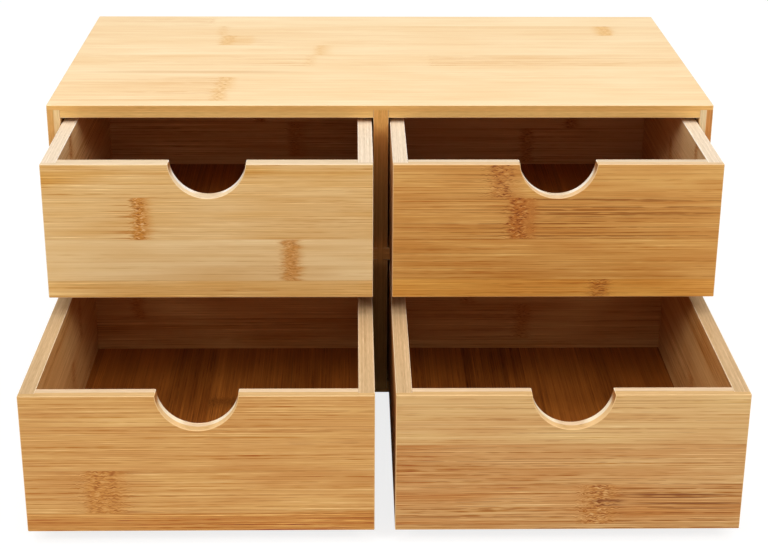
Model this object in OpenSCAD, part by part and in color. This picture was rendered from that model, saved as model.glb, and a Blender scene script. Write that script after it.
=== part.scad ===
/* [Cabinet] */
// Overall width of the cabinet
unit_w = 350; // [260:1:480]
// Overall depth of the cabinet, from front edges to rear edges
unit_d = 200; // [150:1:300]
// Overall height of the cabinet
unit_h = 167; // [140:1:260]
// Thickness of the top and bottom boards
cap_t = 7; // [6:0.5:10]
// Thickness of the two side boards
wall_t = 7; // [6:0.5:10]
// Thickness of the shelves under the upper drawers
shelf_t = 7; // [5:0.5:10]
// Thickness of the upright board in the middle
divider_t = 8; // [6:0.5:12]
// Thickness of the back board
back_t = 6; // [3:0.5:9]

/* [Cabinet joints] */
// How far the uprights are let into the top and bottom boards
upright_let_in = 4.4; // [2:0.1:5]
// How far the ends of the shelves are let into the uprights
shelf_let_in = 2.5; // [1:0.1:2.8]
// How far the edges of the back board are let into the boards around it
back_let_in = 3; // [1:0.5:5]

/* [Drawer boards] */
// Thickness of the front boards
front_t = 8; // [6:0.5:12]
// Thickness of the drawers' side boards
side_t = 7.5; // [5:0.5:10]
// Thickness of the drawers' rear boards
rear_t = 7.5; // [6:0.5:12]
// Thickness of the drawers' floors
floor_t = 4; // [3:0.5:6]

/* [Drawer joints] */
// How far the side boards are let into the front and rear boards
corner_let_in = 5; // [2:0.5:5.5]
// How far the floor is let into the boards around it
floor_let_in = 3.5; // [2:0.5:4.5]
// Height of the underside of the floor above the lower edges of the drawer
floor_raise = 5; // [2:0.5:10]

/* [Finger notch] */
// Width of the notch along the upper edge of the front board
notch_w = 38; // [25:1:50]
// Depth of the notch below the upper edge of the front board
notch_depth = 17.5; // [10:0.5:24]

/* [Clearances] */
// Gap on each side of a drawer
side_gap = 0.8; // [0.4:0.1:2]
// Gap above a drawer
top_gap = 2.5; // [1:0.1:5]
// Running gap under a drawer
runner_gap = 0.3; // [0.2:0.1:0.6]
// Gap between a closed drawer and the back board
stop_gap = 0.5; // [0.3:0.1:3]
// Slack of a drawer's floor in its grooves, on every side
floor_slack = 0.1; // [0.05:0.05:0.3]

/* [Drawer positions] */
// How far the two upper drawers stand out of the cabinet
upper_pull = 70; // [0:1:130]
// How far the two lower drawers stand out of the cabinet
lower_pull = 162; // [0:1:190]

/* [Hidden] */

// Bamboo tones
pale_bamboo = [0.96, 0.84, 0.64];
cabinet_bamboo = [0.86, 0.67, 0.42];
box_bamboo = [0.84, 0.67, 0.45];
floor_bamboo = [0.63, 0.43, 0.24];

// What is set for each drawer, and the two values of its column and of its row
SIDE = 0;
ROW = 1;
PULL = 2;
TONE = 3;
LEFT = -1;
RIGHT = 1;
LOWER = 0;
UPPER = 1;
upper_left = [LEFT, UPPER, upper_pull, [0.86, 0.69, 0.43]];
upper_right = [RIGHT, UPPER, upper_pull, [0.79, 0.57, 0.32]];
lower_left = [LEFT, LOWER, lower_pull, [0.81, 0.61, 0.35]];
lower_right = [RIGHT, LOWER, lower_pull, [0.84, 0.65, 0.41]];

// Extra length of a cut where it leaves the board
over = 1;
round_fn = 96;

// The cabinet stands on the plane z = 0, centred on x = 0 and y = 0, with its front towards -y
front_y = -unit_d / 2;
rear_y = unit_d / 2;
bay_w = (unit_w - 2 * wall_t - divider_t) / 2;
bay_h = (unit_h - 2 * cap_t - shelf_t) / 2;
bay_d = unit_d - back_t;
bay_end_y = front_y + bay_d;
bay_middle_x = (divider_t + bay_w) / 2;
shelf_z = cap_t + bay_h;
upright_low_z = cap_t - upright_let_in;
upright_high_z = unit_h - upright_low_z;
back_half_w = unit_w / 2 - wall_t + back_let_in;
back_low_z = cap_t - back_let_in;
back_high_z = unit_h - back_low_z;

// The drawer's own frame has its origin under the middle of the front face
drawer_w = bay_w - 2 * side_gap;
drawer_h = bay_h - top_gap - runner_gap;
drawer_len = bay_d - stop_gap;
rear_board_y = drawer_len - rear_t;
side_x = drawer_w / 2 - side_t;

// The notch is an arc whose centre lies a little above the upper edge
notch_r = (pow(notch_w / 2, 2) + pow(notch_depth, 2)) / (2 * notch_depth);
notch_centre_z = drawer_h - notch_depth + notch_r;

// A board with one corner at low and the opposite corner at high
module board(low, high) {
    translate(low)
        cube(high - low);
}

// The same thing on the right and on the left
module both_sides() {
    children();
    mirror([1, 0, 0])
        children();
}

// Outlines of the cabinet's boards. Each is a board by itself, and with past above zero it is
// the cut that another board gets for it, so it runs on through the faces where it shows.

module wall_outline(past = 0) {
    board([unit_w / 2 - wall_t, front_y - past, upright_low_z],
          [unit_w / 2 + past, rear_y + past, upright_high_z]);
}

module divider_outline(past = 0) {
    board([-divider_t / 2, front_y - past, upright_low_z],
          [divider_t / 2, bay_end_y, upright_high_z]);
}

module shelf_outline(past = 0) {
    board([divider_t / 2 - shelf_let_in, front_y - past, shelf_z],
          [divider_t / 2 + bay_w + shelf_let_in, bay_end_y, shelf_z + shelf_t]);
}

module back_outline(past = 0) {
    board([-back_half_w, bay_end_y, back_low_z],
          [back_half_w, rear_y + past, back_high_z]);
}

// Top board, rebated at both ends and along the rear edge, and grooved for the divider
module top_board() {
    difference() {
        board([-unit_w / 2, front_y, unit_h - cap_t], [unit_w / 2, rear_y, unit_h]);
        both_sides()
            wall_outline(over);
        divider_outline(over);
        back_outline(over);
    }
}

module top_panel() {
    color(pale_bamboo)
        top_board();
}

module bottom_panel() {
    color(cabinet_bamboo)
        translate([0, 0, unit_h])
            mirror([0, 0, 1])
                top_board();
}

// Side board, grooved for the shelf and rebated for the back board
module right_side_panel() {
    color(cabinet_bamboo)
        difference() {
            wall_outline();
            shelf_outline(over);
            back_outline(over);
        }
}

module left_side_panel() {
    mirror([1, 0, 0])
        right_side_panel();
}

module centre_divider() {
    color(cabinet_bamboo)
        difference() {
            divider_outline();
            both_sides()
                shelf_outline(over);
        }
}

module right_shelf() {
    color(cabinet_bamboo)
        shelf_outline();
}

module left_shelf() {
    mirror([1, 0, 0])
        right_shelf();
}

module back_panel() {
    color(cabinet_bamboo)
        back_outline();
}

// Puts a board that is drawn in the drawer's own frame into that drawer's bay
module in_bay(drawer) {
    translate([drawer[SIDE] * bay_middle_x,
               front_y - drawer[PULL],
               cap_t + drawer[ROW] * (bay_h + shelf_t) + runner_gap])
        children();
}

// Outlines of the drawer's side board and floor, which are also the cuts made for them

module side_outline(past = 0) {
    board([side_x, front_t - corner_let_in, -past],
          [drawer_w / 2 + past, rear_board_y + corner_let_in, drawer_h + past]);
}

module floor_outline(slack = 0) {
    half_w = side_x + floor_let_in + slack;
    board([-half_w, front_t - floor_let_in - slack, floor_raise - slack],
          [half_w, rear_board_y + floor_let_in + slack, floor_raise + floor_t + slack]);
}

// A board across the drawer, rebated at both ends for the sides and grooved for the floor
module cross_board(start_y, thickness) {
    difference() {
        board([-drawer_w / 2, start_y, 0], [drawer_w / 2, start_y + thickness, drawer_h]);
        both_sides()
            side_outline(over);
        floor_outline(floor_slack);
    }
}

module finger_notch() {
    translate([0, -over, notch_centre_z])
        rotate([-90, 0, 0])
            cylinder(h = front_t + 2 * over, r = notch_r, $fn = round_fn);
}

module drawer_front(drawer) {
    color(drawer[TONE])
        in_bay(drawer)
            difference() {
                cross_board(0, front_t);
                finger_notch();
            }
}

module drawer_side(drawer, side) {
    color(box_bamboo)
        in_bay(drawer)
            mirror([side == LEFT ? 1 : 0, 0, 0])
                difference() {
                    side_outline();
                    floor_outline(floor_slack);
                }
}

module drawer_rear(drawer) {
    color(box_bamboo)
        in_bay(drawer)
            cross_board(rear_board_y, rear_t);
}

module drawer_floor(drawer) {
    color(floor_bamboo)
        in_bay(drawer)
            floor_outline();
}

top_panel();
bottom_panel();
left_side_panel();
right_side_panel();
centre_divider();
left_shelf();
right_shelf();
back_panel();
drawer_front(upper_left);  // upper_left_drawer_front
drawer_side(upper_left, LEFT);  // upper_left_drawer_left_side
drawer_side(upper_left, RIGHT);  // upper_left_drawer_right_side
drawer_rear(upper_left);  // upper_left_drawer_rear
drawer_floor(upper_left);  // upper_left_drawer_floor
drawer_front(upper_right);  // upper_right_drawer_front
drawer_side(upper_right, LEFT);  // upper_right_drawer_left_side
drawer_side(upper_right, RIGHT);  // upper_right_drawer_right_side
drawer_rear(upper_right);  // upper_right_drawer_rear
drawer_floor(upper_right);  // upper_right_drawer_floor
drawer_front(lower_left);  // lower_left_drawer_front
drawer_side(lower_left, LEFT);  // lower_left_drawer_left_side
drawer_side(lower_left, RIGHT);  // lower_left_drawer_right_side
drawer_rear(lower_left);  // lower_left_drawer_rear
drawer_floor(lower_left);  // lower_left_drawer_floor
drawer_front(lower_right);  // lower_right_drawer_front
drawer_side(lower_right, LEFT);  // lower_right_drawer_left_side
drawer_side(lower_right, RIGHT);  // lower_right_drawer_right_side
drawer_rear(lower_right);  // lower_right_drawer_rear
drawer_floor(lower_right);  // lower_right_drawer_floor
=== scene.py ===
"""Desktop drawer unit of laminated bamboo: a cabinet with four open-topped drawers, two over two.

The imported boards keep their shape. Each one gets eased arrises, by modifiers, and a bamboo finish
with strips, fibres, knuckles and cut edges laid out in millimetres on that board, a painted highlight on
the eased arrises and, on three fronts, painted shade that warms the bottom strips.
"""

import logging
import math
import random
from dataclasses import dataclass, replace
from enum import Enum
from typing import ClassVar, Sequence, Union

import bpy
from mathutils import Matrix, Vector


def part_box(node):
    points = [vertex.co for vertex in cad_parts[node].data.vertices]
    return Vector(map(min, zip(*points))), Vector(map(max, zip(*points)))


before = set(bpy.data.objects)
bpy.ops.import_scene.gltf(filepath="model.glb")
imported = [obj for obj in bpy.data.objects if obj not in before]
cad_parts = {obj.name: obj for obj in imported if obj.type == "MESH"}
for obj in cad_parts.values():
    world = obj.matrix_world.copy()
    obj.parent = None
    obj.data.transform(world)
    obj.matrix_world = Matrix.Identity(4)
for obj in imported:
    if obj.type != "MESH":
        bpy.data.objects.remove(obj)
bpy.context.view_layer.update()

MM = 0.001
WHITE = (1.0, 1.0, 1.0, 1.0)
STRIP = 21.5  # mm, width of a bamboo strip where nothing else is known

log = logging.getLogger("drawer_unit")

Socket = bpy.types.NodeSocket
Colour = tuple[float, float, float]
Light = tuple[float, float, float, float]
Triple = tuple[float, float, float]
Span = tuple[float, float]
Input = Union[Socket, float, int, Sequence[float]]


class Axis(Enum):
    """The three directions of the unit's frame."""

    X = 0
    Y = 1
    Z = 2


class Blend(Enum):
    """How a Mix node lays its second colour over the first."""

    COVER = "MIX"
    TINT = "MULTIPLY"


def linear(colour: Colour) -> Light:
    """Turns a display colour into linear light.

    Args:
        colour: red, green and blue on the 0 to 255 display scale.

    Returns:
        Linear red, green, blue and 1.
    """
    white, knee, slope, offset, power = 255, 0.04045, 12.92, 0.055, 2.4
    shares = [value / white for value in colour]
    light = [s / slope if s <= knee else ((s + offset) / (1 + offset)) ** power for s in shares]
    return (light[0], light[1], light[2], 1.0)


def darker(colour: Colour, drop: Colour) -> Colour:
    """A display colour made darker by some display steps."""
    return tuple(max(0.0, value - less) for value, less in zip(colour, drop))


class FinishGraph:
    """The node tree of a material or a world, with short calls for the few kinds of node it uses."""

    MIX_IN = (0, 6, 7)  # a Mix node's sockets for the share and the two colours
    MIX_OUT = 2

    def __init__(self, owner: Union[bpy.types.Material, bpy.types.World]) -> None:
        """Starts an empty tree.

        Args:
            owner: the material or the world that the tree is for.
        """
        owner.use_nodes = True
        self.nodes = owner.node_tree.nodes
        self.links = owner.node_tree.links
        self.nodes.clear()

    def node(self, kind: str, **settings: object) -> bpy.types.Node:
        """Adds a node.

        Args:
            kind: Blender's name for the node.
            settings: properties of the node to set.

        Returns:
            The new node.
        """
        made = self.nodes.new(kind)
        for name, value in settings.items():
            setattr(made, name, value)
        return made

    def feed(self, socket: Socket, value: Input) -> None:
        """Links a socket to another one, or sets its own value.

        Args:
            socket: the input to fill.
            value: an output, or a fixed value.
        """
        if isinstance(value, bpy.types.NodeSocket):
            self.links.new(value, socket)
        else:
            socket.default_value = value

    def math(self, operation: str, *values: Input) -> Socket:
        """A Math node.

        Args:
            operation: the operation's name, such as MAXIMUM.
            values: its inputs in order.

        Returns:
            The result's socket.
        """
        made = self.node("ShaderNodeMath", operation=operation)
        for socket, value in zip(made.inputs, values):
            self.feed(socket, value)
        return made.outputs[0]

    def times(self, first: Input, second: Input) -> Socket:
        """The product of two values."""
        return self.math("MULTIPLY", first, second)

    def plus(self, first: Input, second: Input) -> Socket:
        """The sum of two values."""
        return self.math("ADD", first, second)

    def minus(self, first: Input, second: Input) -> Socket:
        """The first value less the second."""
        return self.math("SUBTRACT", first, second)

    def over(self, first: Input, second: Input) -> Socket:
        """The first value divided by the second."""
        return self.math("DIVIDE", first, second)

    def scaled(self, value: Input, gain: Input, start: Input) -> Socket:
        """A value times a gain, added to a start."""
        return self.math("MULTIPLY_ADD", value, gain, start)

    def ramp_up(self, value: Input, low: float, high: float) -> Socket:
        """A smooth step from 0 to 1.

        Args:
            value: what the step depends on.
            low: where the step is 0.
            high: where it is 1, which may lie below low.

        Returns:
            The step's socket.
        """
        made = self.node("ShaderNodeMapRange", interpolation_type="SMOOTHSTEP")
        self.feed(made.inputs["Value"], value)
        made.inputs["From Min"].default_value = low
        made.inputs["From Max"].default_value = high
        return made.outputs["Result"]

    def band(self, value: Socket, low: float, high: float, soft: float) -> Socket:
        """A mark of 1 from low to high, with sides that are soft this far to each side."""
        rise = self.ramp_up(value, low - soft, low + soft)
        return self.times(rise, self.ramp_up(value, high + soft, high - soft))

    def point(self, x: Input, y: Input, z: Input) -> Socket:
        """A vector.

        Args:
            x: its first value.
            y: its second value.
            z: its third value.

        Returns:
            The vector's socket.
        """
        made = self.node("ShaderNodeCombineXYZ")
        for socket, value in zip(made.inputs, (x, y, z)):
            self.feed(socket, value)
        return made.outputs[0]

    def noise(self, where: Socket, detail: float, roughness: float = 0.5, bend: float = 0.0) -> Socket:
        """Noise around one half at a point whose unit is the noise's own size.

        Args:
            where: the point.
            detail: how many finer layers are laid over the first.
            roughness: how strong the finer layers are.
            bend: how far the noise is pulled about by itself.

        Returns:
            The noise's socket.
        """
        made = self.node("ShaderNodeTexNoise", noise_dimensions="3D")
        self.feed(made.inputs["Vector"], where)
        made.inputs["Scale"].default_value = 1.0
        made.inputs["Detail"].default_value = detail
        made.inputs["Roughness"].default_value = roughness
        made.inputs["Distortion"].default_value = bend
        return made.outputs[0]

    def swing(self, where: Socket, detail: float, roughness: float = 0.5, bend: float = 0.0) -> Socket:
        """The same noise around zero."""
        return self.minus(self.noise(where, detail, roughness, bend), 0.5)

    def mix(
        self, share: Input, first: Input, second: Input, within: bool = True, blend: Blend = Blend.COVER
    ) -> Socket:
        """A colour between two others.

        Args:
            share: 0 for the first colour and 1 for the second.
            first: the first colour.
            second: the second colour.
            within: True to keep the share from 0 to 1.
            blend: how the second colour is laid over the first.

        Returns:
            The colour's socket.
        """
        made = self.node("ShaderNodeMix", data_type="RGBA", clamp_factor=within, blend_type=blend.value)
        for index, value in zip(self.MIX_IN, (share, first, second)):
            self.feed(made.inputs[index], value)
        return made.outputs[self.MIX_OUT]

    def steps(self, value: Input, edges: Sequence[float], levels: Sequence[float]) -> Socket:
        """A value that changes in steps.

        Args:
            value: a place from 0 to 1.
            edges: where each step after the first begins, from 0 to 1 and rising.
            levels: the level of each step, from 0 to 1, one more than edges.

        Returns:
            The level's socket.
        """
        made = self.node("ShaderNodeValToRGB")
        bar = made.color_ramp
        bar.interpolation = "CONSTANT"
        bar.elements.remove(bar.elements[1])
        for place, level in zip((0.0, *edges), levels):
            stop = bar.elements[0] if place == 0.0 else bar.elements.new(place)
            stop.position = place
            stop.color = (level, level, level, 1.0)
        self.feed(made.inputs[0], value)
        return made.outputs[0]


@dataclass(frozen=True)
class Knuckle:
    """A joint of the bamboo stem, which crosses one strip as a short dark band."""

    along: float  # mm from the middle of the board, along the grain
    strip: int  # which strip it crosses, counted from the low side
    width: float = 3.0  # half the width of the band in mm
    strength: float = 1.0  # contrast of its strokes
    ground: float = 0.8  # how brown the ground under them is
    skirt: float = 0.0  # width of the paler band beside it, to the high side above 0, in mm
    smear: float = 0.0  # tinted fibres beside it, to the high side above 0 and to the low side below
    smear_length: float = 20.0  # how far those fibres run, in mm


@dataclass(frozen=True)
class DarkFibre:
    """One dark fibre that runs along the grain for a while."""

    start: float  # mm from the middle of the board, along the grain
    end: float
    across: float  # mm from the low side of the board
    strength: float
    height: float  # half its height in mm


@dataclass(frozen=True)
class DeepStretch:
    """A stretch of one strip that is deeper in tone and fades away along the grain."""

    strip: int  # which strip, counted from the low side
    deepest: float  # where it is deepest, in mm from the board's middle
    faded: float  # where it has faded away
    depth: float  # how much deeper, as a share of the way from pale to deep


@dataclass(frozen=True)
class Figure:
    """How the strips, fibres and knuckles lie on one board."""

    along: Axis
    across: Axis
    strip: float  # width of a strip in mm
    offset: float  # where the first glue line lies, in mm from the low side
    seed: int  # starts the random draws of this board
    tones: tuple[float, ...] = ()  # each strip's tone from 0, pale, to 1, deep, or empty to draw them
    knuckles: tuple[Knuckle, ...] = ()
    stroke: float = 2.6  # length of a knuckle's strokes in mm
    painted_shade_warmth: tuple[float, ...] = ()  # how much warmer each strip is painted, as painted shade mostly on the bottom strip, or empty for none
    dark_fibres: tuple[DarkFibre, ...] = ()
    deep_stretches: tuple[DeepStretch, ...] = ()

    STEM: ClassVar[float] = 260.0  # mm of board along the grain that are sure to hold a knuckle
    WIDTHS: ClassVar[Span] = (2.4, 3.6)  # ranges of the random knuckles' values
    STRENGTHS: ClassVar[Span] = (0.45, 0.9)
    SKIRTS: ClassVar[Span] = (-6.0, 6.0)
    SMEARS: ClassVar[Span] = (-0.5, 0.5)
    SMEAR_LENGTHS: ClassVar[Span] = (12.0, 40.0)

    @property
    def through(self) -> Axis:
        """The direction of the board's thickness."""
        return next(axis for axis in Axis if axis not in (self.along, self.across))

    def with_random_knuckles(self, reach: "Reach") -> "Figure":
        """The same figure with knuckles spread over it the way a stem has them.

        Args:
            reach: the box of the board.

        Returns:
            The figure with its knuckles.
        """
        dice = random.Random(self.seed)
        length, width = reach.size(self.along), reach.size(self.across)
        count = int(max(0.0, width - self.offset) // self.strip) + 2
        found = []
        for index in range(count):
            place = dice.uniform(-0.5, 0.5) * length
            if dice.random() < min(1.0, length / self.STEM):
                found.append(Knuckle(
                    place, index, dice.uniform(*self.WIDTHS), dice.uniform(*self.STRENGTHS),
                    skirt=dice.uniform(*self.SKIRTS), smear=dice.uniform(*self.SMEARS),
                    smear_length=dice.uniform(*self.SMEAR_LENGTHS),
                ))
        return replace(self, knuckles=tuple(found))


@dataclass(frozen=True)
class Reach:
    """The box that a board fills, in metres."""

    low: Vector
    high: Vector

    @classmethod
    def of(cls, name: str) -> "Reach":
        """The box of a packed board."""
        low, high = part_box(name)
        return cls(low, high)

    def size(self, axis: Axis) -> float:
        """The board's size along an axis, in mm."""
        return (self.high[axis.value] - self.low[axis.value]) / MM


@dataclass
class KnuckleMarks:
    """Where the knuckles of one board show, each as a share."""

    wander: Input = 0.0  # the fibres bend sideways
    tinted: Input = 0.0  # some fibres are darker
    ground: Input = 0.0  # the ground is browner
    strokes: Input = 0.0  # short curled strokes lie on the ground


class BoardLay:
    """Coordinates and marks on one board, in mm: u along the grain, v across it, w through it."""

    SHARP_FACE: ClassVar[Span] = (0.88, 0.99)  # how squarely a face looks along an axis, none to fully
    SECOND_PLY: ClassVar[Span] = (0.49, 0.53)  # where the second ply begins, as a share of the thickness
    GLUE_LINE: ClassVar[Span] = (0.35, 0.05)  # mm from a glue line at which its mark begins and is full
    STRIP_SOFT: ClassVar[float] = 0.35  # mm, how soft a strip's own marks end at its sides
    PLAIN_TONES: ClassVar[Span] = (0.15, 0.85)  # range of the strips' tones where they are left to the seed
    SHIFT_SPREAD: ClassVar[float] = 37.0  # how far apart the strips' fibres are taken from the noise
    RAGGED_RATE: ClassVar[Span] = (0.03, 0.8)  # steps per mm of the noise that frays the knuckles
    FRAY: ClassVar[float] = 9.0  # mm, how far it frays them
    CORE_SOFT: ClassVar[float] = 2.2  # mm, how soft the strokes of a knuckle end
    SKIRT_SOFT: ClassVar[float] = 2.6  # mm, the same for its ground
    CORE_GROUND: ClassVar[float] = 0.5  # how brown the ground is under the strokes
    SKIRT_GROUND: ClassVar[float] = 0.5  # and how brown it is over the whole skirt
    AROUND: ClassVar[float] = 1.8  # how far its tinted fibres reach, in widths of the knuckle
    AROUND_TINT: ClassVar[float] = 0.35  # how many of them are tinted
    SMEAR_START: ClassVar[Span] = (-1.0, 3.0)  # mm over which a smear begins
    SMEAR_FADE: ClassVar[float] = 2.0  # lengths of a smear after which it has faded away
    FIBRE_FADE: ClassVar[float] = 0.3  # share of its length over which a dark fibre fades

    def __init__(self, graph: FinishGraph, figure: Figure, reach: Reach) -> None:
        """Lays the coordinates out.

        Args:
            graph: the material's tree.
            figure: how the strips and fibres lie.
            reach: the box of the board.
        """
        self.graph = graph
        self.figure = figure
        self.dice = random.Random(figure.seed)
        place = graph.node("ShaderNodeTexCoord")
        spot = graph.node("ShaderNodeSeparateXYZ")
        graph.feed(spot.inputs[0], place.outputs["Object"])
        facing = graph.node("ShaderNodeSeparateXYZ")
        graph.feed(facing.inputs[0], place.outputs["Normal"])
        along, across, through = figure.along.value, figure.across.value, figure.through.value
        middle = (reach.low[along] + reach.high[along]) / 2
        self.u = self.millimetres(spot.outputs[along], middle)
        self.v = self.millimetres(spot.outputs[across], reach.low[across])
        self.w = self.millimetres(spot.outputs[through], reach.low[through])
        self.width = reach.size(figure.across)
        self.thickness = reach.size(figure.through)
        self.edges = self.strip_edges()
        self.mark_strips()
        self.mark_faces(facing)

    def millimetres(self, value: Socket, start: float) -> Socket:
        """A place in mm from where the board's own count starts."""
        return self.graph.over(self.graph.minus(value, start), MM)

    def strip_edges(self) -> list[float]:
        """Finds the glue lines between the strips.

        Returns:
            Where they lie, in mm from the low side.
        """
        edges = []
        place = self.figure.offset
        while place < self.width:
            edges.append(place)
            place += self.figure.strip
        return edges

    def mark_strips(self) -> None:
        """Makes each strip's tone, painted-shade warmth and shift, and the mark of the glue lines."""
        graph, figure = self.graph, self.figure
        count = len(self.edges) + 1
        tones = figure.tones or tuple(self.dice.uniform(*self.PLAIN_TONES) for _ in range(count))
        shares = [edge / self.width for edge in self.edges]
        place = graph.over(self.v, self.width)
        self.tone = graph.steps(place, shares, tones)
        for stretch in figure.deep_stretches:
            run = graph.times(graph.ramp_up(self.u, stretch.faded, stretch.deepest),
                              self.in_strip(stretch.strip))
            self.tone = graph.scaled(run, stretch.depth, self.tone)
        # painted shade: the strips given a warmth in the figure, mostly the bottom ones, are tinted warmer
        self.painted_shade_warmth: Input = graph.steps(place, shares, figure.painted_shade_warmth) if figure.painted_shade_warmth else 0.0
        shifts = [self.dice.uniform(0.0, 1.0) for _ in range(count)]
        self.shift = graph.times(graph.steps(place, shares, shifts), self.SHIFT_SPREAD)
        turn = graph.over(graph.minus(self.v, figure.offset), figure.strip)
        off = graph.times(graph.math("PINGPONG", turn, 0.5), figure.strip)
        self.glue = graph.ramp_up(off, *self.GLUE_LINE)

    def mark_faces(self, facing: bpy.types.Node) -> None:
        """Makes the marks of the sawn edges, the end grain, the arrises, which carry a painted highlight,
        and the second ply.

        Args:
            facing: the node that gives the face's own direction.
        """
        graph = self.graph
        squareness = {
            axis: graph.ramp_up(graph.math("ABSOLUTE", facing.outputs[axis.value]), *self.SHARP_FACE)
            for axis in Axis
        }
        broad = squareness[self.figure.through]
        self.ends = squareness[self.figure.along]
        self.sawn = graph.minus(1.0, broad)
        flat = graph.math("MAXIMUM", broad, self.ends)
        flat = graph.math("MAXIMUM", flat, squareness[self.figure.across])
        # the arrises' mark, where the painted highlight goes
        self.arris = graph.minus(1.0, flat)
        self.second_ply = graph.ramp_up(self.w, *(self.thickness * share for share in self.SECOND_PLY))

    def in_strip(self, strip: int) -> Socket:
        """The mark of one strip, counted from the low side."""
        marks = [0.0, *self.edges, self.width]
        return self.graph.band(self.v, marks[strip], marks[strip + 1], self.STRIP_SOFT)

    def knuckle_marks(self) -> KnuckleMarks:
        """Makes the marks of all the knuckles on the board.

        Returns:
            The marks.
        """
        graph = self.graph
        marks = KnuckleMarks()
        if not self.figure.knuckles:
            return marks
        along, across = self.RAGGED_RATE
        where = graph.point(graph.times(self.u, along), graph.times(self.v, across), self.shift)
        ragged = graph.swing(where, detail=2.0)
        for knuckle in self.figure.knuckles:
            inside = self.in_strip(knuckle.strip)
            away = graph.minus(self.u, knuckle.along)
            frayed = graph.scaled(ragged, self.FRAY, away)
            reach = knuckle.width
            core = graph.times(graph.band(frayed, -reach, reach, self.CORE_SOFT), inside)
            low, high = sorted((0.0, knuckle.skirt))
            skirt = graph.times(graph.band(frayed, low - reach, high + reach, self.SKIRT_SOFT), inside)
            ground = graph.scaled(skirt, self.SKIRT_GROUND, graph.times(core, self.CORE_GROUND))
            around = graph.times(graph.band(away, -self.AROUND * reach, self.AROUND * reach, reach), inside)
            tinted = graph.times(around, self.AROUND_TINT * knuckle.strength)
            if knuckle.smear:
                side = graph.times(away, math.copysign(1.0, knuckle.smear))
                run = graph.times(graph.ramp_up(side, *self.SMEAR_START),
                                  graph.ramp_up(side, knuckle.smear_length * self.SMEAR_FADE, 0.0))
                tinted = graph.scaled(graph.times(run, inside), abs(knuckle.smear), tinted)
            marks.wander = graph.plus(around, marks.wander)
            marks.tinted = graph.plus(tinted, marks.tinted)
            marks.ground = graph.scaled(ground, knuckle.ground, marks.ground)
            marks.strokes = graph.scaled(core, knuckle.strength, marks.strokes)
        return marks

    def dark_fibre_marks(self, v: Socket) -> Input:
        """Marks the board's single dark fibres.

        Args:
            v: the place across the grain, which may wander.

        Returns:
            The mark's socket.
        """
        graph = self.graph
        marks: Input = 0.0
        for fibre in self.figure.dark_fibres:
            run = graph.band(self.u, fibre.start, fibre.end, self.FIBRE_FADE * (fibre.end - fibre.start))
            line = graph.band(v, fibre.across - fibre.height, fibre.across + fibre.height, fibre.height)
            marks = graph.scaled(graph.times(run, line), fibre.strength, marks)
        return marks


@dataclass(frozen=True)
class FibreLayer:
    """One layer of fibres, as noise drawn out along the grain."""

    length: float  # mm along the grain
    height: float  # mm across the grain
    salt: float  # sets the layer apart from the others
    detail: float = 1.0


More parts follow.
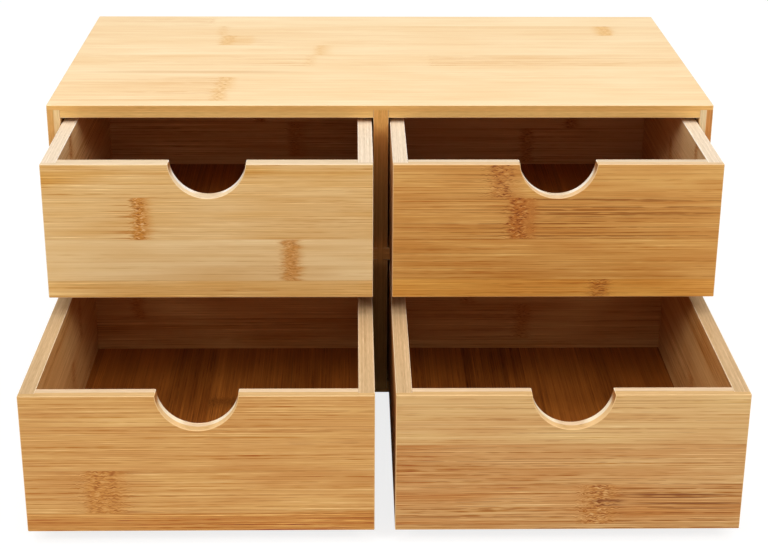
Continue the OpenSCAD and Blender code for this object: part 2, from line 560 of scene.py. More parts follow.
class Fibres:
    """The layers of fibres on one board, each around zero."""

    PATCHES: ClassVar[FibreLayer] = FibreLayer(60.0, 9.0, 5.3)
    STREAKS: ClassVar[FibreLayer] = FibreLayer(260.0, 2.4, 3.1)
    PRESENCE: ClassVar[FibreLayer] = FibreLayer(11.0, 0.9, 17.9)  # where the fibres stand out or fade
    MIDDLE: ClassVar[FibreLayer] = FibreLayer(220.0, 0.85, 11.7)
    FINE: ClassVar[FibreLayer] = FibreLayer(80.0, 0.38, 23.9)
    LINES: ClassVar[FibreLayer] = FibreLayer(160.0, 0.8, 41.3, 0.0)
    FLECKS: ClassVar[FibreLayer] = FibreLayer(5.0, 0.5, 51.7)  # those of a sawn edge
    GRAIN: ClassVar[Span] = (1.8, 0.65)  # shares of the fine and the middle fibres in the grain
    SPECKLE: ClassVar[Span] = (0.9, 1.3)  # shares of the flecks and the middle fibres on a sawn edge
    PRESENCE_GAIN: ClassVar[float] = 4.6
    ROUGHNESS: ClassVar[float] = 0.55
    CURL_RATE: ClassVar[Span] = (0.4, 0.5)  # steps of the noise that curls the fibres at a knuckle, per mm
    CURL: ClassVar[float] = 2.2  # mm, how far it curls them
    DRIFT_RATE: ClassVar[Span] = (0.006, 0.05)  # the same for the noise that lets them drift
    DRIFT: ClassVar[float] = 1.2  # mm, how far they drift
    STROKE_HEIGHT: ClassVar[float] = 0.55  # mm
    STROKE_BEND: ClassVar[float] = 0.3

    def __init__(self, graph: FinishGraph, lay: BoardLay, wander: Input) -> None:
        """Makes the layers that the finish uses more than once.

        Args:
            graph: the material's tree.
            lay: the board's own coordinates.
            wander: where the fibres curl.
        """
        self.graph = graph
        self.lay = lay
        curl = self.slow_swing(self.CURL_RATE, lay.w)
        drift = self.slow_swing(self.DRIFT_RATE, lay.shift)
        self.v = graph.scaled(drift, self.DRIFT, lay.v)
        self.v = graph.plus(self.v, graph.times(graph.times(wander, curl), self.CURL))
        presence = graph.scaled(self.layer(self.PRESENCE), self.PRESENCE_GAIN, 1.0)
        self.middle = graph.times(self.layer(self.MIDDLE), presence)
        self.fine = graph.times(self.layer(self.FINE), presence)
        self.lines = graph.times(self.layer(self.LINES), presence)
        fine, middle = self.GRAIN
        self.grain = graph.scaled(self.fine, fine, graph.times(self.middle, middle))
        flecks, middle = self.SPECKLE
        self.speckle = graph.scaled(self.middle, middle, self.fine)
        self.speckle = graph.scaled(self.layer(self.FLECKS), flecks, self.speckle)
        stroke = graph.point(
            graph.over(lay.u, lay.figure.stroke), graph.over(self.v, self.STROKE_HEIGHT), lay.w
        )
        self.strokes = graph.swing(stroke, detail=1.0, bend=self.STROKE_BEND)

    def slow_swing(self, rate: Span, third: Socket) -> Socket:
        """Noise that changes slowly over the board.

        Args:
            rate: its steps per mm along and across the grain.
            third: the third value of the noise's point.

        Returns:
            The noise's socket, around zero.
        """
        graph, lay = self.graph, self.lay
        along, across = rate
        where = graph.point(graph.times(lay.u, along), graph.times(lay.v, across), third)
        return graph.swing(where, detail=1.0)

    def layer(self, layer: FibreLayer) -> Socket:
        """Makes one layer of fibres.

        Args:
            layer: its sizes.

        Returns:
            The layer's socket.
        """
        graph, lay = self.graph, self.lay
        where = graph.point(
            graph.plus(graph.over(lay.u, layer.length), lay.shift),
            graph.plus(graph.over(self.v, layer.height), layer.salt),
            graph.over(lay.w, layer.height),
        )
        return graph.swing(where, layer.detail, self.ROUGHNESS)


@dataclass(frozen=True)
class BambooFinish:
    """Laminated bamboo under a thin satin lacquer."""

    name: str
    pale: Colour
    deep: Colour
    cut: Colour  # the sawn edges of a board
    low_arris_highlight: Colour  # painted highlight on the eased edges on the low side of its thickness
    high_arris_highlight: Colour  # painted highlight on those on the high side
    knuckle: Colour = (140, 80, 32)
    knuckle_ground: Colour = (190, 126, 62)
    smear: Colour = (170, 104, 50)
    dark_fibre: Colour = (120, 58, 4)
    end: Colour = (176, 120, 62)
    ply: Colour = (196, 134, 72)  # second ply, which shows at the sawn edges
    ply_share: float = 0.0
    fibre_drop: Colour = (44, 44, 48)  # how much darker the dark fibres are
    sawn_drop: Colour = (34, 36, 40)  # the same at the sawn edges
    fibre: float = 1.6  # contrast of the fibres
    streak: float = 1.0  # contrast of the broader streaks
    patch: float = 1.2  # contrast of the soft patches
    line: float = 0.35  # strength of the single dark lines
    strip_contrast: float = 1.0
    roughness: float = 0.46
    painted_shade_tint: Triple = (1.12, 1.03, 0.70)  # what the colour of a strip warmed by painted shade is multiplied by

    MIDDLE_TONE: ClassVar[float] = 0.5
    TONES: ClassVar[Span] = (-0.3, 1.3)  # how far a spot may lie outside pale and deep
    LIVELY: ClassVar[Span] = (0.25, 1.3)  # the fibres' contrast in a pale strip, and what a deep one adds
    LINED: ClassVar[Span] = (0.3, 1.0)  # the same for the single dark lines
    LINE_STEP: ClassVar[Span] = (0.10, 0.24)  # which of the lines show, from none to fully
    TINT_STEP: ClassVar[Span] = (0.0, 0.14)  # which fibres a smear tints
    TINT_GRAIN: ClassVar[float] = 0.4
    STROKE_STEP: ClassVar[Span] = (0.0, 0.16)  # dark strokes of a knuckle
    GAP_STEP: ClassVar[Span] = (-0.04, -0.16)  # pale gaps between them
    GAP_SHARE: ClassVar[float] = 0.7
    GLUE_SHARE: ClassVar[float] = 0.25
    PORE_RATE: ClassVar[Triple] = (0.05, 1.5, 1.1)  # pores of the end grain per mm, each way
    PORE_STEP: ClassVar[Span] = (0.42, 0.66)
    # how strongly the painted highlight covers the eased arrises
    ARRIS_HIGHLIGHT_SHARE: ClassVar[float] = 0.85
    RELIEF: ClassVar[Triple] = (0.6, 0.5, 0.8)  # heights of the fine and middle fibres and the strokes
    GLUE_RELIEF: ClassVar[float] = -0.35
    RELIEF_DULL: ClassVar[float] = 0.22  # how much duller a high spot is
    SAWN_DULL: ClassVar[float] = 0.10
    LACQUER_IOR: ClassVar[float] = 1.36
    BUMP_STRENGTH: ClassVar[float] = 0.5
    BUMP_HEIGHT: ClassVar[float] = 0.03  # mm

    def dress(self, board: bpy.types.Object, figure: Figure, reach: Reach) -> None:
        """Gives a board this finish.

        Args:
            board: the board.
            figure: how its strips and fibres lie.
            reach: where the board lies in the unit.
        """
        material = bpy.data.materials.new(f"{self.name}.{board.name}")
        graph = FinishGraph(material)
        lay = BoardLay(graph, figure, reach)
        marks = lay.knuckle_marks()
        fibres = Fibres(graph, lay, marks.wander)
        colour = self.board_colour(graph, lay, fibres)
        colour = self.marked(graph, lay, fibres, marks, colour)
        colour = self.cut_faces(graph, lay, fibres, colour)
        self.shade(graph, lay, colour, self.relief(graph, lay, fibres, marks))
        for slot in board.material_slots:
            slot.material = material

    def board_colour(self, graph: FinishGraph, lay: BoardLay, fibres: Fibres) -> Socket:
        """The colour of the strips and their fibres, with painted shade that warms the bottom strips.

        Args:
            graph: the material's tree.
            lay: the board's own coordinates.
            fibres: the layers of fibres.

        Returns:
            The colour's socket.
        """
        tone = graph.scaled(graph.minus(lay.tone, self.MIDDLE_TONE), self.strip_contrast, self.MIDDLE_TONE)
        tone = graph.scaled(fibres.layer(fibres.PATCHES), self.patch, tone)
        tone = graph.scaled(fibres.layer(fibres.STREAKS), self.streak, tone)
        least, most = self.TONES
        tone = graph.math("MAXIMUM", graph.math("MINIMUM", tone, most), least)
        light = graph.mix(tone, linear(self.pale), linear(self.deep), within=False)
        dark = graph.mix(tone, linear(darker(self.pale, self.fibre_drop)),
                         linear(darker(self.deep, self.fibre_drop)), within=False)
        start, gain = self.LIVELY
        contrast = graph.scaled(lay.tone, self.fibre * gain, self.fibre * start)
        colour = graph.mix(graph.times(fibres.grain, contrast), light, dark, within=False)
        # painted shade: each strip's colour is multiplied towards the warm tint by its share
        return graph.mix(lay.painted_shade_warmth, colour, (*self.painted_shade_tint, 1.0), blend=Blend.TINT)

    def marked(
        self, graph: FinishGraph, lay: BoardLay, fibres: Fibres, marks: KnuckleMarks, colour: Socket
    ) -> Socket:
        """The colour with the dark lines, the knuckles and the glue lines laid over it.

        Args:
            graph: the material's tree.
            lay: the board's own coordinates.
            fibres: the layers of fibres.
            marks: where the knuckles show.
            colour: the colour of the strips and fibres.

        Returns:
            The colour's socket.
        """
        start, gain = self.LINED
        single = graph.times(graph.ramp_up(fibres.lines, *self.LINE_STEP),
                             graph.scaled(lay.tone, self.line * gain, self.line * start))
        chosen = graph.plus(fibres.lines, graph.times(fibres.grain, self.TINT_GRAIN))
        tinted = graph.times(marks.tinted, graph.ramp_up(chosen, *self.TINT_STEP))
        colour = graph.mix(graph.plus(single, tinted), colour, linear(self.smear))
        colour = graph.mix(marks.ground, colour, linear(self.knuckle_ground))
        strokes = graph.times(marks.strokes, graph.ramp_up(fibres.strokes, *self.STROKE_STEP))
        colour = graph.mix(strokes, colour, linear(self.knuckle))
        gaps = graph.times(graph.ramp_up(fibres.strokes, *self.GAP_STEP), self.GAP_SHARE)
        colour = graph.mix(graph.times(marks.strokes, gaps), colour, linear(self.pale))
        colour = graph.mix(lay.dark_fibre_marks(fibres.v), colour, linear(self.dark_fibre))
        return graph.mix(graph.times(lay.glue, self.GLUE_SHARE), colour, linear(self.smear))

    def cut_faces(self, graph: FinishGraph, lay: BoardLay, fibres: Fibres, colour: Socket) -> Socket:
        """The colour with the sawn edges, the end grain and a painted highlight on the eased arrises laid
        over it.

        Args:
            graph: the material's tree.
            lay: the board's own coordinates.
            fibres: the layers of fibres.
            colour: the colour of the board's broad faces.

        Returns:
            The colour's socket.
        """
        ply = graph.times(lay.second_ply, self.ply_share)
        sawn = graph.mix(ply, linear(self.cut), linear(self.ply))
        dark = graph.mix(ply, linear(darker(self.cut, self.sawn_drop)),
                         linear(darker(self.ply, self.sawn_drop)))
        sawn = graph.mix(fibres.speckle, sawn, dark, within=False)
        colour = graph.mix(lay.sawn, colour, sawn)
        spot = [graph.times(place, rate) for place, rate in zip((lay.u, lay.v, lay.w), self.PORE_RATE)]
        pores = graph.noise(graph.point(*spot), detail=2.0, roughness=0.6)
        ends = graph.mix(graph.ramp_up(pores, *self.PORE_STEP), linear(self.end), linear(self.knuckle))
        colour = graph.mix(lay.ends, colour, ends)
        # painted highlight on the eased arrises, paler on the high side of the thickness
        arris = graph.mix(lay.second_ply, linear(self.low_arris_highlight), linear(self.high_arris_highlight))
        return graph.mix(graph.times(lay.arris, self.ARRIS_HIGHLIGHT_SHARE), colour, arris)

    def relief(self, graph: FinishGraph, lay: BoardLay, fibres: Fibres, marks: KnuckleMarks) -> Socket:
        """The relief of the fibres, the knuckles' strokes and the glue lines.

        Args:
            graph: the material's tree.
            lay: the board's own coordinates.
            fibres: the layers of fibres.
            marks: where the knuckles show.

        Returns:
            The relief's socket.
        """
        fine, middle, strokes = self.RELIEF
        relief = graph.plus(graph.times(fibres.fine, fine), graph.times(fibres.middle, middle))
        relief = graph.scaled(graph.times(fibres.strokes, marks.strokes), strokes, relief)
        return graph.scaled(lay.glue, self.GLUE_RELIEF, relief)

    def shade(self, graph: FinishGraph, lay: BoardLay, colour: Socket, relief: Socket) -> None:
        """Joins the colour and the relief to the shader.

        Args:
            graph: the material's tree.
            lay: the board's own coordinates.
            colour: the colour.
            relief: the relief.
        """
        shader = graph.node("ShaderNodeBsdfPrincipled")
        graph.feed(shader.inputs["Base Color"], colour)
        dull = graph.scaled(relief, self.RELIEF_DULL, self.roughness)
        dull = graph.scaled(lay.sawn, self.SAWN_DULL, dull)
        graph.feed(shader.inputs["Roughness"], dull)
        shader.inputs["IOR"].default_value = self.LACQUER_IOR
        bump = graph.node("ShaderNodeBump")
        bump.inputs["Strength"].default_value = self.BUMP_STRENGTH
        bump.inputs["Distance"].default_value = self.BUMP_HEIGHT * MM
        graph.feed(bump.inputs["Height"], relief)
        graph.feed(shader.inputs["Normal"], bump.outputs[0])
        output = graph.node("ShaderNodeOutputMaterial")
        graph.feed(output.inputs["Surface"], shader.outputs[0])


class MeshGraph:
    """A node group that works on a mesh, with short calls for the few kinds of node it uses."""

    def __init__(self, name: str) -> None:
        """Starts a group in which the mesh has not been changed yet.

        Args:
            name: the group's name.
        """
        self.group = bpy.data.node_groups.new(name, "GeometryNodeTree")
        for way in ("INPUT", "OUTPUT"):
            self.group.interface.new_socket("Geometry", in_out=way, socket_type="NodeSocketGeometry")
        self.mesh = self.node("NodeGroupInput").outputs[0]

    def node(self, kind: str, **settings: object) -> bpy.types.Node:
        """Adds a node.

        Args:
            kind: Blender's name for the node.
            settings: properties of the node to set.

        Returns:
            The new node.
        """
        made = self.group.nodes.new(kind)
        for name, value in settings.items():
            setattr(made, name, value)
        return made

    def link(self, value: Socket, socket: Socket) -> None:
        """Links an output to an input."""
        self.group.links.new(value, socket)

    def change(self, kind: str, **settings: object) -> bpy.types.Node:
        """Adds a node that changes the mesh.

        Args:
            kind: Blender's name for the node.
            settings: properties of the node to set.

        Returns:
            The new node.
        """
        made = self.node(kind, **settings)
        self.link(self.mesh, made.inputs["Geometry"])
        self.mesh = made.outputs[0]
        return made

    def store(self, kind: str, name: str, value: Socket) -> None:
        """Stores a value on the mesh's edges.

        Args:
            kind: FLOAT or BOOLEAN.
            name: the name it is stored under.
            value: the value.
        """
        made = self.change("GeometryNodeStoreNamedAttribute", data_type=kind, domain="EDGE")
        made.inputs["Name"].default_value = name
        self.link(value, made.inputs["Value"])

    def logic(self, operation: str, first: Socket, second: Socket) -> Socket:
        """Joins two yes-or-no fields.

        Args:
            operation: how, such as AND.
            first: the first field.
            second: the second field.

        Returns:
            The result's socket.
        """
        made = self.node("FunctionNodeBooleanMath", operation=operation)
        self.link(first, made.inputs[0])
        self.link(second, made.inputs[1])
        return made.outputs[0]

    def compare(self, operation: str, value: Socket, limit: Union[float, Vector]) -> Socket:
        """A comparison of a field with a fixed limit.

        Args:
            operation: the comparison's name, such as LESS_EQUAL.
            value: the field.
            limit: the limit, which has to hold for each of a vector's three values.

        Returns:
            The result's socket.
        """
        made = self.node("FunctionNodeCompare", data_type="FLOAT", operation=operation)
        if isinstance(limit, Vector):
            made.data_type = "VECTOR"
            made.mode = "ELEMENT"
        first, second = (socket for socket in made.inputs if socket.enabled and socket.name in "AB")
        self.link(value, first)
        second.default_value = limit
        return made.outputs[0]

    def finished(self) -> bpy.types.NodeTree:
        """The group, with the changed mesh as its output."""
        self.link(self.mesh, self.node("NodeGroupOutput").inputs[0])
        return self.group


@dataclass(frozen=True)
class EasedArris:
    """Rounds a board's free arrises and leaves those in a glued joint sharp."""

    radius: float  # mm
    segments: int = 3
    merge_within: float = 0.01  # mm
    joint_within: float = 0.15  # mm
    flat_within: float = math.radians(1)
    least_turn: float = math.radians(25)
    face_weight: int = 100  # how much the large faces count in the shading
    weight_name: str = "bevel_weight_edge"
    joining_name: str = "joined_faces"

    def apply(self, board: bpy.types.Object, mates: Sequence[Reach]) -> None:
        """Adds the modifiers that ease a board.

        Args:
            board: the board.
            mates: the boxes of the boards glued to it.
        """
        joining = board.modifiers.new("joined faces", "NODES")
        joining.node_group = bpy.data.node_groups.get(self.joining_name) or self.joining_group()
        flattening = board.modifiers.new("whole faces", "DECIMATE")
        flattening.decimate_type = "DISSOLVE"
        flattening.angle_limit = self.flat_within
        marking = board.modifiers.new("free arrises", "NODES")
        marking.node_group = self.marking_group(board.name, mates)
        rounding = board.modifiers.new("eased", "BEVEL")
        rounding.limit_method = "WEIGHT"
        rounding.edge_weight = self.weight_name
        rounding.width = self.radius * MM
        rounding.segments = self.segments
        rounding.use_clamp_overlap = False
        settling = board.modifiers.new("flat faces", "WEIGHTED_NORMAL")
        settling.mode = "FACE_AREA"
        settling.weight = self.face_weight
        settling.keep_sharp = True

    def joining_group(self) -> bpy.types.NodeTree:
        """Makes a node group that joins a board's faces and drops the shading it came with.

        Returns:
            The group.
        """
        graph = MeshGraph(self.joining_name)
        joined = graph.change("GeometryNodeMergeByDistance")
        joined.inputs["Distance"].default_value = self.merge_within * MM
        plain_faces = graph.change("GeometryNodeRemoveAttribute")
        plain_faces.inputs["Name"].default_value = "custom_normal"
        return graph.finished()

    def marking_group(self, name: str, mates: Sequence[Reach]) -> bpy.types.NodeTree:
        """Makes a node group that marks a board's free arrises and its sharp edges.

        Args:
            name: the board's name.
            mates: the boxes of the boards glued to it.

        Returns:
            The group.
        """
        graph = MeshGraph(f"free_arrises.{name}")
        turn = graph.node("GeometryNodeInputMeshEdgeAngle").outputs
        position = graph.node("GeometryNodeInputPosition").outputs[0]
        slack = Vector((1, 1, 1)) * self.joint_within * MM
        free = graph.compare("GREATER_THAN", turn["Signed Angle"], self.least_turn)
        for mate in mates:
            above = graph.compare("GREATER_EQUAL", position, mate.low - slack)
            below = graph.compare("LESS_EQUAL", position, mate.high + slack)
            free = graph.logic("AND", free, graph.logic("NAND", above, below))
        graph.store("FLOAT", self.weight_name, free)
        graph.change("GeometryNodeSetShadeSmooth")
        bent = graph.compare("GREATER_THAN", turn["Unsigned Angle"], self.least_turn)
        graph.store("BOOLEAN", "sharp_edge", graph.logic("NIMPLY", bent, free))
        return graph.finished()


CABINET_TOP = BambooFinish(
    "cabinet_top_bamboo", pale=(253, 226, 181), deep=(240, 197, 139), cut=(236, 188, 112),
    low_arris_highlight=(254, 236, 200), high_arris_highlight=(250, 222, 176), knuckle=(206, 148, 80),
    knuckle_ground=(238, 190, 122), smear=(226, 174, 112), dark_fibre=(216, 168, 112),
    ply=(228, 172, 94), ply_share=0.8, fibre_drop=(12, 26, 36), fibre=0.9, line=0.3, patch=0.9, streak=0.5,
)
CABINET_BOARD = BambooFinish(
    "cabinet_bamboo", pale=(226, 184, 122), deep=(200, 146, 80), cut=(226, 166, 88),
    low_arris_highlight=(242, 208, 158), high_arris_highlight=(242, 208, 158), strip_contrast=0.7,
)
LEFT_SIDE = replace(
    CABINET_BOARD, name="cabinet_left_bamboo", cut=(222, 166, 92), ply=(240, 204, 146), ply_share=1.0,
)
RIGHT_SIDE = replace(
    CABINET_BOARD, name="cabinet_right_bamboo", cut=(230, 202, 156), ply=(206, 138, 70), ply_share=1.0,
)
UPPER_BOX = BambooFinish(
    "upper_box_bamboo", pale=(228, 188, 136), deep=(202, 150, 92), cut=(232, 210, 182),
    low_arris_highlight=(255, 248, 234), high_arris_highlight=(255, 248, 234), strip_contrast=0.6, fibre_drop=(36, 40, 48),
)
LOWER_BOX = replace(
    UPPER_BOX, name="lower_box_bamboo", pale=(218, 170, 108), deep=(190, 130, 66), cut=(202, 168, 124),
    low_arris_highlight=(250, 230, 196), high_arris_highlight=(250, 230, 196),
)
DRAWER_FLOOR = BambooFinish(
    "drawer_floor_bamboo", pale=(180, 106, 38), deep=(134, 71, 20), cut=(150, 96, 44),
    low_arris_highlight=(160, 104, 50), high_arris_highlight=(160, 104, 50), knuckle=(112, 58, 16),
    knuckle_ground=(142, 80, 26), smear=(104, 54, 12), end=(120, 70, 28),
    fibre_drop=(40, 34, 16), fibre=1.6, line=0.6,
)
YELLOW_FRONT = BambooFinish(
    "front_yellow_bamboo", pale=(235, 199, 142), deep=(212, 156, 76), cut=(224, 198, 162),
    low_arris_highlight=(244, 214, 168), high_arris_highlight=(255, 246, 236), knuckle=(158, 90, 18),
    knuckle_ground=(206, 136, 50), smear=(196, 134, 60), fibre_drop=(28, 42, 56), fibre=1.7, streak=0.6,
)
ORANGE_FRONT = BambooFinish(
    "front_orange_bamboo", pale=(222, 168, 92), deep=(194, 124, 44), cut=(220, 186, 142),
    low_arris_highlight=(238, 196, 142), high_arris_highlight=(255, 244, 228), knuckle=(128, 56, 0),
    knuckle_ground=(184, 104, 26), smear=(158, 94, 26), ply=(224, 201, 170), ply_share=1.0,
    fibre_drop=(26, 46, 70), fibre=1.85, streak=0.7,
)
TAN_FRONT = BambooFinish(
    "front_tan_bamboo", pale=(216, 164, 94), deep=(188, 120, 50), cut=(211, 171, 115),
    low_arris_highlight=(240, 200, 142), high_arris_highlight=(255, 240, 210), knuckle=(156, 84, 12),
    knuckle_ground=(200, 130, 48), smear=(166, 100, 34), ply=(224, 194, 157), ply_share=1.0,
    fibre_drop=(27, 43, 68), fibre=3.0, line=0.6, streak=0.7,
)
BROWN_FRONT = replace(
    TAN_FRONT, name="front_brown_bamboo", pale=(218, 175, 113), deep=(192, 130, 66),
    knuckle=(142, 72, 8), smear=(152, 88, 20), fibre=2.0,
)

TOP_FIGURE = Figure(
    Axis.X, Axis.Y, strip=23.6, offset=8.5, seed=11,
    tones=(0.2, 0.43, 0.4, 0.27, 0.48, 0.27, 0.37, 0.42, 0.15),
    knuckles=(
        Knuckle(-86.0, 1, width=3.2, strength=0.8, ground=0.6, smear=-0.7, smear_length=60),
        Knuckle(-85.0, 2, width=3.0, strength=0.8, ground=0.6, skirt=3.0, smear=-0.6, smear_length=50),
        Knuckle(-39.0, 4, width=2.2, strength=0.3, ground=0.25, smear=-0.7, smear_length=90),
        Knuckle(28.0, 4, width=3.0, strength=0.0, ground=0.0, smear=0.7, smear_length=90),
        Knuckle(-34.0, 5, width=2.4, strength=0.3, ground=0.5, skirt=4.0),
        Knuckle(-90.0, 6, width=3.6, strength=0.5, ground=0.7, skirt=12.0, smear=0.6, smear_length=26),
        Knuckle(-94.0, 7, width=2.4, strength=0.3, ground=0.3),
        Knuckle(140.0, 7, width=4.0, strength=0.5, ground=0.9, skirt=-3.0),
        Knuckle(-100.0, 8, width=3.0, strength=0.0, ground=0.0, smear=-0.6, smear_length=60),
    ),
    dark_fibres=(DarkFibre(-155.0, -58.0, across=66.0, strength=0.5, height=2.5),),
)
# The warmth given to the bottom strips of three fronts is painted shade.
UPPER_LEFT_FIGURE = Figure(
    Axis.X, Axis.Z, strip=22.0, offset=9.0, seed=101, stroke=2.4,
    tones=(0.5, 0.1, 0.4, 0.5), painted_shade_warmth=(0.45, 0.05, 0.1, 0.15),
    knuckles=(
        Knuckle(-34.0, 2, width=2.9, strength=1.0, ground=1.0, skirt=3.0, smear=-1.0, smear_length=12),
        Knuckle(40.0, 1, width=3.6, strength=0.55, ground=0.8, skirt=2.0),
    ),
    deep_stretches=(DeepStretch(3, deepest=-81.0, faded=-30.0, depth=0.25),),
)
UPPER_RIGHT_FIGURE = Figure(
    Axis.X, Axis.Z, strip=21.6, offset=9.7, seed=201, stroke=3.4,
    tones=(0.4, 0.5, 0.52, 0.32), painted_shade_warmth=(0.8, 0.1, 0.0, 0.0),
    knuckles=(
        Knuckle(-28.0, 3, width=5.0, strength=0.9, ground=0.5, skirt=6.0, smear=-0.4, smear_length=24),
        Knuckle(-19.0, 2, width=4.2, strength=1.0, ground=0.9, skirt=5.0, smear=-0.5, smear_length=30),
        Knuckle(-12.5, 2, width=1.0, strength=0.2, ground=0.2, smear=0.8, smear_length=80),
        Knuckle(23.0, 0, width=4.0, strength=0.7, ground=0.5),
    ),
)
LOWER_LEFT_FIGURE = Figure(
    Axis.X, Axis.Z, strip=22.6, offset=9.4, seed=301, stroke=3.8,
    tones=(0.45, 0.3, 0.28, 0.22), painted_shade_warmth=(0.3, 0.0, 0.0, 0.0),
    knuckles=(
        Knuckle(-45.5, 1, width=7.0, strength=0.9, ground=0.6, skirt=4.0, smear=0.3, smear_length=16),
    ),
    deep_stretches=(DeepStretch(0, deepest=60.0, faded=-50.0, depth=0.45),),
)
LOWER_RIGHT_FIGURE = Figure(
    Axis.X, Axis.Z, strip=21.0, offset=2.9, seed=401, stroke=3.2,
    tones=(0.6, 0.78, 0.5, 0.25, 0.15),
    knuckles=(
        Knuckle(6.0, 1, width=1.4, strength=0.3, ground=0.2, skirt=4.0),
        Knuckle(14.0, 1, width=5.0, strength=1.0, ground=0.4, skirt=4.0, smear=0.4, smear_length=60),
    ),
    dark_fibres=(
        DarkFibre(12.0, 25.0, across=15.2, strength=0.85, height=0.7),
        DarkFibre(13.0, 24.0, across=12.9, strength=0.7, height=0.5),
        DarkFibre(28.0, 72.0, across=18.6, strength=1.0, height=0.32),
        DarkFibre(32.0, 66.0, across=17.0, strength=0.9, height=0.28),
        DarkFibre(34.0, 80.0, across=13.7, strength=1.0, height=0.32),
        DarkFibre(44.0, 78.0, across=10.9, strength=0.6, height=0.4),
    ),
    deep_stretches=(DeepStretch(2, deepest=-74.0, faded=0.0, depth=0.42),),
)


Layout = dict[str, tuple[BambooFinish, Axis, Axis]]
Boards = dict[str, tuple[BambooFinish, Figure]]


def dress_boards(boards: Boards, arris: EasedArris) -> None:
    """Eases and finishes the boards of one glued-up body.

    Args:
        boards: the finish and the figure of each board, under the board's name.
        arris: how their free arrises are rounded.
    """
    for name, (finish, figure) in boards.items():
        mates = [Reach.of(other) for other in boards if other != name]
        arris.apply(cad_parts[name], mates)
        finish.dress(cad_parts[name], figure, Reach.of(name))
        log.info("board %s eased and finished", name)


@dataclass(frozen=True)
class Scatter:
    """How the bamboo differs from board to board where each board's own strips aren't known."""

    least_offset: float  # mm from the low side of a board to its first glue line
    offsets: int  # how many mm the first glue line varies over

    def boards(self, layout: Layout, seed: int) -> Boards:
        """Lays strips and knuckles on boards.

        Args:
            layout: each board's finish and the axes along and across its grain, under its name.
            seed: starts the random draws of the first board, and each later one has the next.

        Returns:
            Each board's finish and figure, under its name.
        """
        found = {}
        for turn, (name, (finish, along, across)) in enumerate(layout.items(), start=seed):
            figure = Figure(along, across, STRIP, self.least_offset + turn % self.offsets, turn)
            found[name] = (finish, figure.with_random_knuckles(Reach.of(name)))
        return found


@dataclass
class Cabinet:
    """The cabinet: top and bottom, two sides, the divider, two shelves and the back."""

    arris: EasedArris = EasedArris(radius=0.5)
    scatter: Scatter = Scatter(least_offset=6.0, offsets=9)

    LAYOUT: ClassVar[Layout] = {
        "bottom_panel": (CABINET_BOARD, Axis.X, Axis.Y),
        "left_side_panel": (LEFT_SIDE, Axis.Z, Axis.Y),
        "right_side_panel": (RIGHT_SIDE, Axis.Z, Axis.Y),
        "centre_divider": (CABINET_BOARD, Axis.Z, Axis.Y),
        "left_shelf": (CABINET_BOARD, Axis.X, Axis.Y),
        "right_shelf": (CABINET_BOARD, Axis.X, Axis.Y),
        "back_panel": (CABINET_BOARD, Axis.X, Axis.Z),
    }

    def dress(self) -> None:
        """Eases and finishes every board of the cabinet."""
        boards = {"top_panel": (CABINET_TOP, TOP_FIGURE)}
        boards.update(self.scatter.boards(self.LAYOUT, TOP_FIGURE.seed + 1))
        dress_boards(boards, self.arris)


@dataclass
class Drawer:
    """One drawer: a front with its finger notch, two sides, a rear board and a floor."""

    name: str
    front_finish: BambooFinish
    front_figure: Figure
    box_finish: BambooFinish
    seed: int  # just below that of the first board after the front
    arris: EasedArris = EasedArris(radius=0.45)
    scatter: Scatter = Scatter(least_offset=5.0, offsets=13)

    def dress(self) -> None:
        """Eases and finishes every board of the drawer."""
        boards = {f"{self.name}_front": (self.front_finish, self.front_figure)}
        layout = {
            f"{self.name}_left_side": (self.box_finish, Axis.Y, Axis.Z),
            f"{self.name}_right_side": (self.box_finish, Axis.Y, Axis.Z),
            f"{self.name}_rear": (self.box_finish, Axis.X, Axis.Z),
            f"{self.name}_floor": (DRAWER_FLOOR, Axis.Y, Axis.X),
        }
        boards.update(self.scatter.boards(layout, self.seed + 1))
        dress_boards(boards, self.arris)


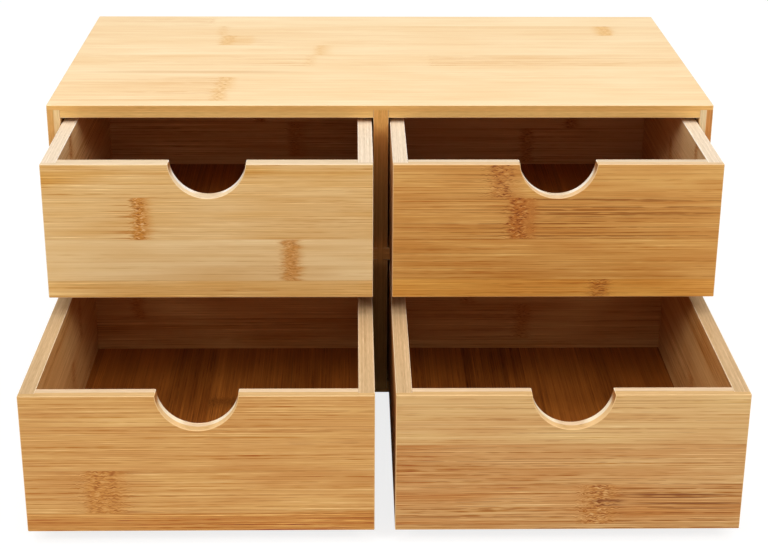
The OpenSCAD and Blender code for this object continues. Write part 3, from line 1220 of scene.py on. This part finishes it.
@dataclass
class Studio:
    """A white floor, soft lamps and the camera."""

    floor_size: float = 8.0
    floor_grey: float = 0.80
    floor_glow: float = 0.82  # light of its own that the camera sees, which leaves shadows soft
    floor_catch: float = 0.26  # how much of the lamps' light the camera sees with it
    sky: float = 0.32
    aim: Triple = (0.0, -0.1, 0.08)
    overhead_size: Span = (1.8, 1.2)
    overhead_place: Triple = (0.0, -0.15, 1.5)
    overhead_power: float = 13.6
    side_size: Span = (1.0, 1.0)
    side_place: Triple = (1.7, -1.7, 1.7)  # that of the right lamp
    side_power: float = 24.0
    sensor: float = 36.0  # mm
    lens: float = 78.654  # mm
    camera_place: Triple = (-0.01424, -0.94791, 0.41450)
    pitch: float = math.radians(22.0468)
    yaw: float = math.radians(1.1014)
    roll: float = math.radians(0.3176)
    clip: Span = (0.01, 100.0)

    @staticmethod
    def seen_as(graph: FinishGraph, seen: Socket, other: Socket) -> Socket:
        """A shader that the camera sees one way and the lamps' light another way.

        Args:
            graph: the tree.
            seen: the shader for what the camera sees.
            other: the shader for the rest.

        Returns:
            The shader's socket.
        """
        choice = graph.node("ShaderNodeMixShader")
        ray = graph.node("ShaderNodeLightPath").outputs["Is Camera Ray"]
        for socket, value in zip(choice.inputs, (ray, other, seen)):
            graph.feed(socket, value)
        return choice.outputs[0]

    @staticmethod
    def matt(graph: FinishGraph, grey: float) -> Socket:
        """A matt grey shader.

        Args:
            graph: the tree.
            grey: how light the grey is, from 0 to 1.

        Returns:
            The shader's socket.
        """
        made = graph.node("ShaderNodeBsdfDiffuse")
        made.inputs["Color"].default_value = (grey, grey, grey, 1)
        return made.outputs[0]

    def set_floor(self) -> None:
        """Lays the white floor, which keeps the unit's shadow."""
        half = self.floor_size / 2
        corners = [(-half, -half, 0), (half, -half, 0), (half, half, 0), (-half, half, 0)]
        mesh = bpy.data.meshes.new("studio_floor")
        mesh.from_pydata(corners, [], [tuple(range(len(corners)))])
        floor = bpy.data.objects.new("studio_floor", mesh)
        bpy.context.scene.collection.objects.link(floor)
        material = bpy.data.materials.new("studio_floor")
        graph = FinishGraph(material)
        glow = graph.node("ShaderNodeEmission")
        glow.inputs["Strength"].default_value = self.floor_glow
        both = graph.node("ShaderNodeAddShader")
        graph.feed(both.inputs[0], self.matt(graph, self.floor_catch))
        graph.feed(both.inputs[1], glow.outputs[0])
        choice = self.seen_as(graph, both.outputs[0], self.matt(graph, self.floor_grey))
        graph.feed(graph.node("ShaderNodeOutputMaterial").inputs["Surface"], choice)
        mesh.materials.append(material)

    def hang_lamp(self, name: str, place: Triple, size: Span, power: float) -> None:
        """Hangs a soft lamp that looks at the unit.

        Args:
            name: the lamp's name.
            place: where it hangs, in metres.
            size: its width and height in metres.
            power: its power in watts.
        """
        light = bpy.data.lights.new(name, "AREA")
        light.shape = "RECTANGLE"
        light.size, light.size_y = size
        light.energy = power
        lamp = bpy.data.objects.new(name, light)
        ahead = Vector(self.aim) - Vector(place)
        lamp.matrix_world = Matrix.Translation(place) @ ahead.to_track_quat("-Z", "Y").to_matrix().to_4x4()
        bpy.context.scene.collection.objects.link(lamp)

    def set_light(self) -> None:
        """Hangs the soft lamps and sets the surrounding light."""
        self.hang_lamp("overhead_softbox", self.overhead_place, self.overhead_size, self.overhead_power)
        across, ahead, above = self.side_place
        self.hang_lamp("left_softbox", (-across, ahead, above), self.side_size, self.side_power)
        self.hang_lamp("right_softbox", (across, ahead, above), self.side_size, self.side_power)
        world = bpy.data.worlds.new("studio")
        bpy.context.scene.world = world
        graph = FinishGraph(world)
        white, around = (graph.node("ShaderNodeBackground") for _ in range(2))
        for background in (white, around):
            background.inputs["Color"].default_value = WHITE
        around.inputs["Strength"].default_value = self.sky
        choice = self.seen_as(graph, white.outputs[0], around.outputs[0])
        graph.feed(graph.node("ShaderNodeOutputWorld").inputs["Surface"], choice)

    def set_camera(self) -> None:
        """Places the camera, a little above the unit and almost straight in front."""
        data = bpy.data.cameras.new("studio_camera")
        data.sensor_fit = "HORIZONTAL"
        data.sensor_width = self.sensor
        data.lens = self.lens
        data.clip_start, data.clip_end = self.clip
        camera = bpy.data.objects.new("studio_camera", data)
        flat, drop = math.cos(self.pitch), math.sin(self.pitch)
        ahead = Vector((math.sin(self.yaw) * flat, math.cos(self.yaw) * flat, -drop))
        level = Vector((math.cos(self.yaw), -math.sin(self.yaw), 0.0))
        above = level.cross(ahead)
        right = level * math.cos(self.roll) + above * math.sin(self.roll)
        up = above * math.cos(self.roll) - level * math.sin(self.roll)
        turn = Matrix((right, up, -ahead)).transposed().to_4x4()
        camera.matrix_world = Matrix.Translation(self.camera_place) @ turn
        bpy.context.scene.collection.objects.link(camera)
        bpy.context.scene.camera = camera
        bpy.context.scene.view_settings.view_transform = "Standard"

    def build(self) -> None:
        """Sets up the floor, the light and the camera."""
        self.set_floor()
        self.set_light()
        self.set_camera()
        log.info("studio ready")


def drawers() -> tuple[Drawer, ...]:
    """Describes the four drawers.

    Returns:
        The drawers, each with the figure of its own front board.
    """
    return (
        Drawer("upper_left_drawer", YELLOW_FRONT, UPPER_LEFT_FIGURE, UPPER_BOX, seed=110),
        Drawer("upper_right_drawer", ORANGE_FRONT, UPPER_RIGHT_FIGURE, UPPER_BOX, seed=210),
        Drawer("lower_left_drawer", TAN_FRONT, LOWER_LEFT_FIGURE, LOWER_BOX, seed=310),
        Drawer("lower_right_drawer", BROWN_FRONT, LOWER_RIGHT_FIGURE, LOWER_BOX, seed=410),
    )


def main() -> None:
    """Builds the unit's looks and the studio."""
    logging.basicConfig(level=logging.INFO, format="%(name)s: %(message)s")
    Cabinet().dress()
    for drawer in drawers():
        drawer.dress()
    Studio().build()
    bpy.context.view_layer.update()


if __name__ == "__main__":
    main()
